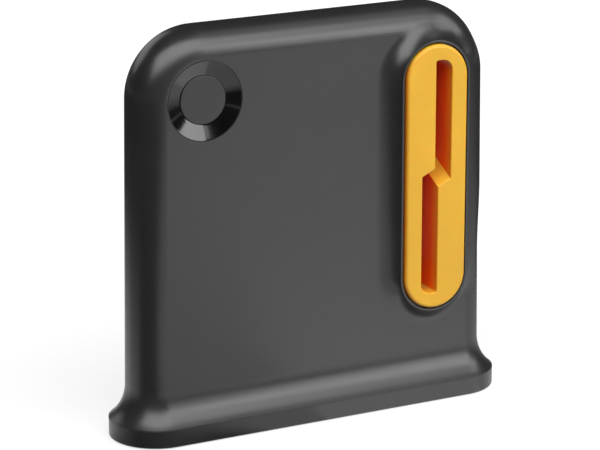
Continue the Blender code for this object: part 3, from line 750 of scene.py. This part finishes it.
def guide_seats():
    """Helpers that cut the window through the housing and each guide's seat."""
    window = guide_loft("window", [(GUIDE_RADIUS, -FACE - OVERRUN), (GUIDE_RADIUS, FACE + OVERRUN)])
    # The seat's rim is rounded by about a tenth of a millimetre
    radius = GUIDE_RADIUS + GUIDE_GAP
    profile = [(radius, SEAT_FLOOR), (radius, LIP - 0.09), (radius + 0.03, LIP - 0.025)]
    profile += [(radius + 0.10, LIP + 0.01), (radius + 0.10, FACE + OVERRUN)]
    return [window] + [guide_loft("seat", [(r, side * depth) for r, depth in profile]) for side in (-1, 1)]


def badge_pocket():
    """Steps that back the badge, sink its pocket, and drill for the cap's stem."""
    # The pocket's rim is rounded by about a tenth of a millimetre
    pocket = [(POCKET_RADIUS, POCKET_FLOOR), (POCKET_RADIUS, HALF_THICKNESS - 0.08)]
    pocket += [(POCKET_RADIUS + 0.02, HALF_THICKNESS - 0.02), (POCKET_RADIUS + 0.09, HALF_THICKNESS + 0.01)]
    pocket.append((POCKET_RADIUS + 0.09, HALF_THICKNESS + OVERRUN))
    hole = STEM_RADIUS + STEM_GAP
    return [
        ("UNION", badge_plug("pad", [(BACKING_RADIUS, BACKING_BACK), (BACKING_RADIUS, BACKING_FRONT)])),
        ("DIFFERENCE", badge_plug("pocket", pocket)),
        ("DIFFERENCE", badge_plug("stem", [(hole, BACKING_BACK - OVERRUN), (hole, HALF_THICKNESS)])),
    ]


def make_shell():
    """The moulded housing: hollow, with surrounds, guide seats, the badge's pocket and screw posts."""
    shell = outside("shell_skin")
    steps = [("UNION", surround("surround")), ("DIFFERENCE", cavity("cavity"))]
    for x in SCREW_PLACES:
        low = (x - RIB_HALF_THICKNESS, -RIB_HALF_DEPTH, RIB_BOTTOM)
        high = (x + RIB_HALF_THICKNESS, RIB_HALF_DEPTH, POST_TOP)
        steps.append(("UNION", post("post", x, POST_BOTTOM, POST_TOP, POST_RADIUS)))
        steps.append(("UNION", block("rib", low, high)))
    for x in SCREW_PLACES:
        steps.append(("DIFFERENCE", post("hole", x, POST_BOTTOM - OVERRUN, POST_TOP - POST_ROOF, SCREW_HOLE)))
    steps += [("DIFFERENCE", helper) for helper in guide_seats()]
    carve(shell, steps + badge_pocket())
    dress(shell, "body_shell", BODY_BLACK, 30.0)


def ramp_height(u, inward):
    """Height of the passage's floor beside the guide's middle; it rises on the way in from the face."""
    return RAMP_SLOPE * (u - SLOT_OVERLAP) - PASSAGE_HIGH + RAMP_RISE * inward / FACE


def slot_ring(depth, grow):
    """The slot's outline at a depth as (u, w), grown on all sides."""
    left, right = -SLOT_OVERLAP - grow, SLOT_REACH + grow
    bend, nip = SLOT_BEND + grow, SLOT_NIP + grow
    top = GUIDE_STRAIGHT + SLOT_END + grow
    inward = max(FACE - depth, 0.0)
    drop = grow / cos(atan(RAMP_SLOPE))
    ring = [(left, ramp_height(left, inward) - drop), (right, ramp_height(right, inward) - drop)]
    ring += [(right - bend * (1 - a), top - bend * (1 - b)) for a, b in quarter_arc(12)]
    ring += [(left + nip * (1 - b), top - nip * (1 - a)) for a, b in quarter_arc(6)]
    return ring


def slot_cutter(name, way, side):
    """One blade slot from outside a guide's face to past the middle plane, its mouth rounded."""
    levels = [(FACE + OVERRUN, SLOT_ROUND)]
    for _, sunk in quarter_arc(6):
        levels.append((FACE - SLOT_ROUND * sunk, SLOT_ROUND * (1 - sqrt(1 - (1 - sunk) ** 2))))
    levels.append((-OVERRUN, 0.0))
    rings = []
    for depth, grow in levels:
        ring = slot_ring(depth, grow)
        rings.append([(GUIDE_X + way * u, side * depth, GUIDE_Z + way * w) for u, w in ring])
    return loft(name, rings)


def guide_block(name, low, high, half_turn=False):
    """A block measured from the middle of the guide, or its twin half a turn round."""
    (u0, y0, w0), (u1, y1, w1) = low, high
    if half_turn:
        (u0, w0), (u1, w1) = (-u1, -w1), (-u0, -w0)
    return block(name, (GUIDE_X + u0, y0, GUIDE_Z + w0), (GUIDE_X + u1, y1, GUIDE_Z + w1))


def tongues():
    """Steps for the front guide: the notch of the carrier's lug and the two snap tongues with their barbs."""
    swing = LUG_HALF_WIDTH + LUG_BOTTOM * sin(ROCK_ANGLE) + LUG_GAP
    low = (LUG_X - swing, -CARRIER_SEAT_DEPTH, -LUG_BOTTOM - NOTCH_FLOOR_GAP)
    high = (LUG_X + swing, OVERRUN, -NOTCH_TOP)
    steps = [("DIFFERENCE", guide_block("notch", low, high))]
    root, barb = (-TONGUE_OUTER, TONGUE_ROOT, TONGUE_LOW), (-BARB_OUTER, BARB_START, TONGUE_LOW)
    end = (-TONGUE_INNER, TONGUE_END, TONGUE_HIGH)
    for half_turn in (False, True):
        steps.append(("UNION", guide_block("tongue", root, end, half_turn)))
        steps.append(("UNION", guide_block("barb", barb, end, half_turn)))
    return steps


def catches():
    """Steps for the rear guide: the two catches behind which the barbs snap."""
    low = (-CATCH_OUTER, CATCH_START, TONGUE_LOW - CATCH_MARGIN)
    high = (-CATCH_INNER, CATCH_END, TONGUE_HIGH + CATCH_MARGIN)
    return [("UNION", guide_block("catch", low, high, half_turn)) for half_turn in (False, True)]


def make_guide(node, side):
    """A stadium head over a slimmer plug, with the slots, the carrier's seat and the snap fit."""
    profile = [(PLUG_RADIUS, MIDDLE_GAP), (PLUG_RADIUS, HEAD_BACK), (GUIDE_RADIUS, HEAD_BACK)]
    profile += [(GUIDE_RADIUS - GUIDE_ROUND * (1 - a), LIP + GUIDE_ROUND * b) for a, b in quarter_arc(8)]
    guide = guide_loft(node + "_skin", [(radius, side * depth) for radius, depth in profile])
    steps = [("DIFFERENCE", slot_cutter("slot", way, side)) for way in (1, -1)]
    ring = [(CARRIER_SEAT_RADIUS * a, CARRIER_SEAT_RADIUS * b) for a, b in circle(SEAT_STEPS)]
    seat = [[(GUIDE_X + u, side * y, GUIDE_Z + w) for u, w in ring] for y in (-OVERRUN, CARRIER_SEAT_DEPTH)]
    steps.append(("DIFFERENCE", loft("seat", seat)))
    near, far = sorted((-side * OVERRUN, side * (FACE - CORE_FLOOR)))
    low, high = (-CORE_OUTER, near, CORE_LOW), (-CORE_INNER, far, CORE_HIGH)
    steps += [("DIFFERENCE", guide_block("core", low, high, half_turn)) for half_turn in (False, True)]
    carve(guide, steps + (tongues() if side < 0 else catches()))
    dress(guide, node, GUIDE_ORANGE, 28.0)


def make_badge_ring():
    """A glossy ring, dished as a straight cone, with slightly rounded edges."""
    profile = [(RING_INNER, BADGE_FLOOR), (RING_OUTER, BADGE_FLOOR), (RING_OUTER, CONE_TOP - 0.06)]
    profile += [(RING_OUTER - 0.03, CONE_TOP), (RING_OUTER - 0.10, CONE_TOP + 0.02)]
    for k in range(CONE_STEPS + 1):
        profile.append((CONE_OUTER - CONE_WIDTH * k / CONE_STEPS, CONE_TOP - CONE_FALL * k / CONE_STEPS))
    profile.append((RING_INNER + 0.03, CONE_TOP - CONE_FALL - 0.02))
    circles = [badge_circle(radius, depth) for radius, depth in profile]
    ring = loft("badge_ring_skin", list(zip(*circles)), closed=True)
    dress(ring, "badge_ring", RING_BLACK, 40.0)


def make_badge_cap():
    """The matt cap on its stem, with a rounded edge and a face that swells by a hair."""
    profile = [(STEM_RADIUS, STEM_END), (STEM_RADIUS, BADGE_FLOOR), (CAP_RADIUS, BADGE_FLOOR)]
    profile += [(CAP_RADIUS - CAP_ROUND * (1 - a), CAP_EDGE + CAP_ROUND * b) for a, b in quarter_arc(5)]
    profile.append((CAP_FACE_RADIUS, CAP_FACE))
    cap = loft("badge_cap_skin", [badge_circle(radius, depth) for radius, depth in profile])
    dress(cap, "badge_cap", CAP_BLACK, 35.0)


def make_tray():
    """The base tray, which makes the foot's low rim."""
    rings = []
    for a, b in quarter_arc(5):
        rings.append(foot_ring(FOOT_RADIUS - TRAY_ROUND * (1 - b), SOLE_PROUD + TRAY_ROUND * (1 - a)))
    rings += [foot_ring(FOOT_RADIUS, TRAY_BEVEL_LOW), foot_ring(FOOT_RADIUS - TRAY_BEVEL, TRAY_TOP)]
    tray = loft("tray_skin", rings)
    steps = [
        ("UNION", foot_bar("rib", TRAY_RIB_OUTER, TRAY_RIB_BOTTOM, TRAY_RIB_TOP)),
        ("DIFFERENCE", foot_bar("hollow", TRAY_RIB_INNER, TRAY_FLOOR_TOP, TRAY_RIB_TOP + OVERRUN)),
        ("DIFFERENCE", foot_bar("recess", SOLE_SEAT_RADIUS, -OVERRUN, SOLE_CEILING)),
    ]
    for x in SCREW_PLACES:
        steps.append(("UNION", post("column", x, TRAY_POST_BOTTOM, TRAY_POST_TOP, TRAY_POST_RADIUS)))
    for x in SCREW_PLACES:
        steps.append(("DIFFERENCE", post("head", x, SOLE_CEILING - OVERRUN, HEAD_HOLE_TOP, HEAD_HOLE)))
        steps.append(("DIFFERENCE", post("shank", x, SCREW_SEAT_BOTTOM, TRAY_POST_TOP + OVERRUN, SCREW_HOLE)))
    carve(tray, steps)
    dress(tray, "base_tray", BASE_BLACK, 30.0)


def make_sole():
    """The rubber sole, with a rounded lower edge."""
    rings = []
    for a, b in quarter_arc(4):
        rings.append(foot_ring(SOLE_RADIUS - SOLE_ROUND * (1 - b), SOLE_ROUND * (1 - a)))
    rings.append(foot_ring(SOLE_RADIUS, SOLE_THICKNESS))
    dress(loft("sole_skin", rings), "non_slip_sole", SOLE_RUBBER, 35.0)


def paint_kept_nodes():
    """The CAD nodes that stay get their materials."""
    finishes = {
        "carrier_front": GUIDE_ORANGE,
        "carrier_rear": GUIDE_ORANGE,
        "sharpening_rod_upper": ROD_CERAMIC,
        "sharpening_rod_lower": ROD_CERAMIC,
        "badge_retainer": RETAINER_STEEL,
        "base_screw_1": SCREW_ZINC,
        "base_screw_2": SCREW_ZINC,
        "base_screw_3": SCREW_ZINC,
        "base_screw_4": SCREW_ZINC,
    }
    for node, finish in finishes.items():
        paint(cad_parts[node], finish)


make_shell()
make_guide("front_guide", -1)
make_guide("rear_guide", 1)
make_badge_ring()
make_badge_cap()
make_tray()
make_sole()
paint_kept_nodes()


def lamp(name, azimuth, elevation, distance, size, radiance):
    """A soft box, its sizes in metres; azimuth 0 is the object's front, positive towards its right.

    The radiance is what a mirror would show of it.
    """
    light = bpy.data.lights.new(name, "AREA")
    light.shape = "RECTANGLE"
    light.size, light.size_y = size
    # The power of an area lamp is pi times its radiance and its area
    light.energy = radiance * pi * size[0] * size[1]
    made = bpy.data.objects.new(name, light)
    bpy.context.scene.collection.objects.link(made)
    a, e = radians(azimuth), radians(elevation)
    middle = Vector((0.0, 0.0, 0.055))
    way = Vector((cos(e) * sin(a), -cos(e) * cos(a), sin(e)))
    made.location = middle + way * distance
    made.rotation_euler = way.to_track_quat("Z", "Y").to_euler()


def light_world():
    """A dim grey room that is white to the camera."""
    world = bpy.data.worlds.new("studio")
    bpy.context.scene.world = world
    world.use_nodes = True
    tree = world.node_tree
    rays = tree.nodes.new("ShaderNodeLightPath").outputs
    pick = tree.nodes.new("ShaderNodeMix")
    pick.data_type = "RGBA"
    pick.inputs[6].default_value = (0.022, 0.022, 0.023, 1.0)
    pick.inputs[7].default_value = (1.0, 1.0, 1.0, 1.0)
    tree.links.new(rays["Is Camera Ray"], pick.inputs[0])
    tree.links.new(pick.outputs[2], tree.nodes["Background"].inputs["Color"])


def level(name, corners, height, finish):
    """A flat piece of the stage with its corners given as (x, y), in metres."""
    mesh = bpy.data.meshes.new(name)
    mesh.from_pydata([(x, y, height) for x, y in corners], [], [range(len(corners))])
    mesh.materials.append(finish)
    made = bpy.data.objects.new(name, mesh)
    bpy.context.scene.collection.objects.link(made)
    return made


def reach_over_floor(tree, place):
    """Distance from the middle of the object."""
    made = tree.nodes.new("ShaderNodeVectorMath")
    made.operation = "LENGTH"
    tree.links.new(place, made.inputs[0])
    return made.outputs["Value"]


def pale_floor():
    """Pale floor that shows white to the camera and in reflections, and keeps the object's shadow."""
    made = bpy.data.materials.new("pale_floor")
    made.use_nodes = True
    tree = made.node_tree
    plain = tree.nodes["Principled BSDF"]
    plain.inputs["Base Color"].default_value = (0.30, 0.30, 0.30, 1.0)
    plain.inputs["Roughness"].default_value = 0.9
    rays = tree.nodes.new("ShaderNodeLightPath").outputs
    reach = reach_over_floor(tree, tree.nodes.new("ShaderNodeTexCoord").outputs["Object"])
    seen = add_node(tree, "ShaderNodeMapRange", reach, 0.08, 0.60, 0.70, 1.0)
    seen = add_node(tree, "ShaderNodeMath", rays["Is Camera Ray"], seen, operation="MULTIPLY")
    mirrored = add_node(tree, "ShaderNodeMapRange", reach, 0.08, 0.26, 1.18, 0.75)
    mirrored = add_node(tree, "ShaderNodeMath", rays["Is Glossy Ray"], mirrored, operation="MULTIPLY")
    strength = add_node(tree, "ShaderNodeMath", seen, mirrored, operation="MAXIMUM")
    glow = tree.nodes.new("ShaderNodeEmission")
    tree.links.new(strength, glow.inputs["Strength"])
    total = add_node(tree, "ShaderNodeAddShader", plain.outputs[0], glow.outputs[0])
    tree.links.new(total, tree.nodes["Material Output"].inputs["Surface"])
    return made


def dim_sheet(name, side, corners, fade, per_metre, beside_from):
    """A sheet just above the floor, seen in reflections only, which dims the floor on one side.

    Angles are in degrees from the front, towards the side. The glow fades out between the two angles of
    fade, and per_metre moves both forward with the distance. From beside_from on, the floor close to the
    object glows too.
    """
    made = bpy.data.materials.new(name)
    made.use_nodes = True
    tree = made.node_tree
    tree.nodes.remove(tree.nodes["Principled BSDF"])
    place = tree.nodes.new("ShaderNodeTexCoord").outputs["Object"]
    apart = tree.nodes.new("ShaderNodeSeparateXYZ")
    tree.links.new(place, apart.inputs[0])
    across = add_node(tree, "ShaderNodeMath", apart.outputs["X"], side, operation="MULTIPLY")
    ahead = add_node(tree, "ShaderNodeMath", apart.outputs["Y"], -1.0, operation="MULTIPLY")
    angle = add_node(tree, "ShaderNodeMath", across, ahead, operation="ARCTAN2")
    reach = reach_over_floor(tree, place)
    turned = add_node(tree, "ShaderNodeMath", reach, radians(per_metre), angle, operation="MULTIPLY_ADD")
    glow = add_node(tree, "ShaderNodeMapRange", turned, radians(fade[0]), radians(fade[1]), 1.0, 0.05)
    close = add_node(tree, "ShaderNodeMapRange", reach, 0.085, 0.27, 1.0, 0.05)
    start, full = radians(beside_from), radians(beside_from + 15)
    around = add_node(tree, "ShaderNodeMapRange", angle, start, full, 0.0, 1.0)
    beside = add_node(tree, "ShaderNodeMath", close, around, operation="MULTIPLY")
    strength = add_node(tree, "ShaderNodeMath", glow, beside, operation="MAXIMUM")
    light = tree.nodes.new("ShaderNodeEmission")
    tree.links.new(strength, light.inputs["Strength"])
    tree.links.new(light.outputs[0], tree.nodes["Material Output"].inputs["Surface"])
    sheet = level(name, corners, height=0.0006, finish=made)
    # Only glossy rays meet the sheet
    sheet.visible_camera = sheet.visible_shadow = sheet.visible_diffuse = False


def place_camera():
    """The photograph's camera, as fitted to the outline; its frame is 600 pixels wide."""
    focal_pixels, frame_width = 2816.18, 600
    distance = 0.75563
    camera = bpy.data.objects.new("camera", bpy.data.cameras.new("camera"))
    bpy.context.scene.collection.objects.link(camera)
    camera.data.sensor_width = 36.0
    camera.data.lens = focal_pixels / frame_width * camera.data.sensor_width
    camera.data.clip_start = 0.05
    target = Vector((-0.0016006, 0.0, 0.0520665))
    forward = Vector((0.4435, 0.8510, -0.2814)).normalized()
    camera.location = target - forward * distance
    camera.rotation_euler = forward.to_track_quat("-Z", "Y").to_euler()
    bpy.context.scene.camera = camera


lamp("key_high", azimuth=-18, elevation=53, distance=0.90, size=(1.40, 0.72), radiance=4.4)
lamp("key_right", azimuth=39, elevation=21, distance=0.95, size=(0.46, 0.46), radiance=5.2)
lamp("key_far_right", azimuth=67, elevation=30, distance=0.95, size=(0.36, 0.50), radiance=3.2)
lamp("key_overhead", azimuth=74, elevation=62, distance=0.90, size=(0.45, 0.35), radiance=0.8)
lamp("fill_back", azimuth=196, elevation=24, distance=0.95, size=(0.70, 0.36), radiance=1.3)
light_world()
whole_floor = [(-3.0, -3.0), (3.0, -3.0), (3.0, 3.0), (-3.0, 3.0)]
left_part = [(0.0, -0.02), (0.40, -1.5), (-1.5, -1.5), (-1.5, 1.5), (0.0, 1.5)]
right_part = [(0.06, -0.02), (1.5, -1.5), (1.5, 1.5), (0.0, 1.5), (0.0, 0.02)]
level("floor", whole_floor, height=0.0, finish=pale_floor())
dim_sheet("dim_left", -1.0, left_part, fade=(53, 69), per_metre=180, beside_from=80)
dim_sheet("dim_right", 1.0, right_part, fade=(91.5, 141.5), per_metre=150, beside_from=150)
place_camera()
bpy.context.scene.view_settings.view_transform = "Standard"
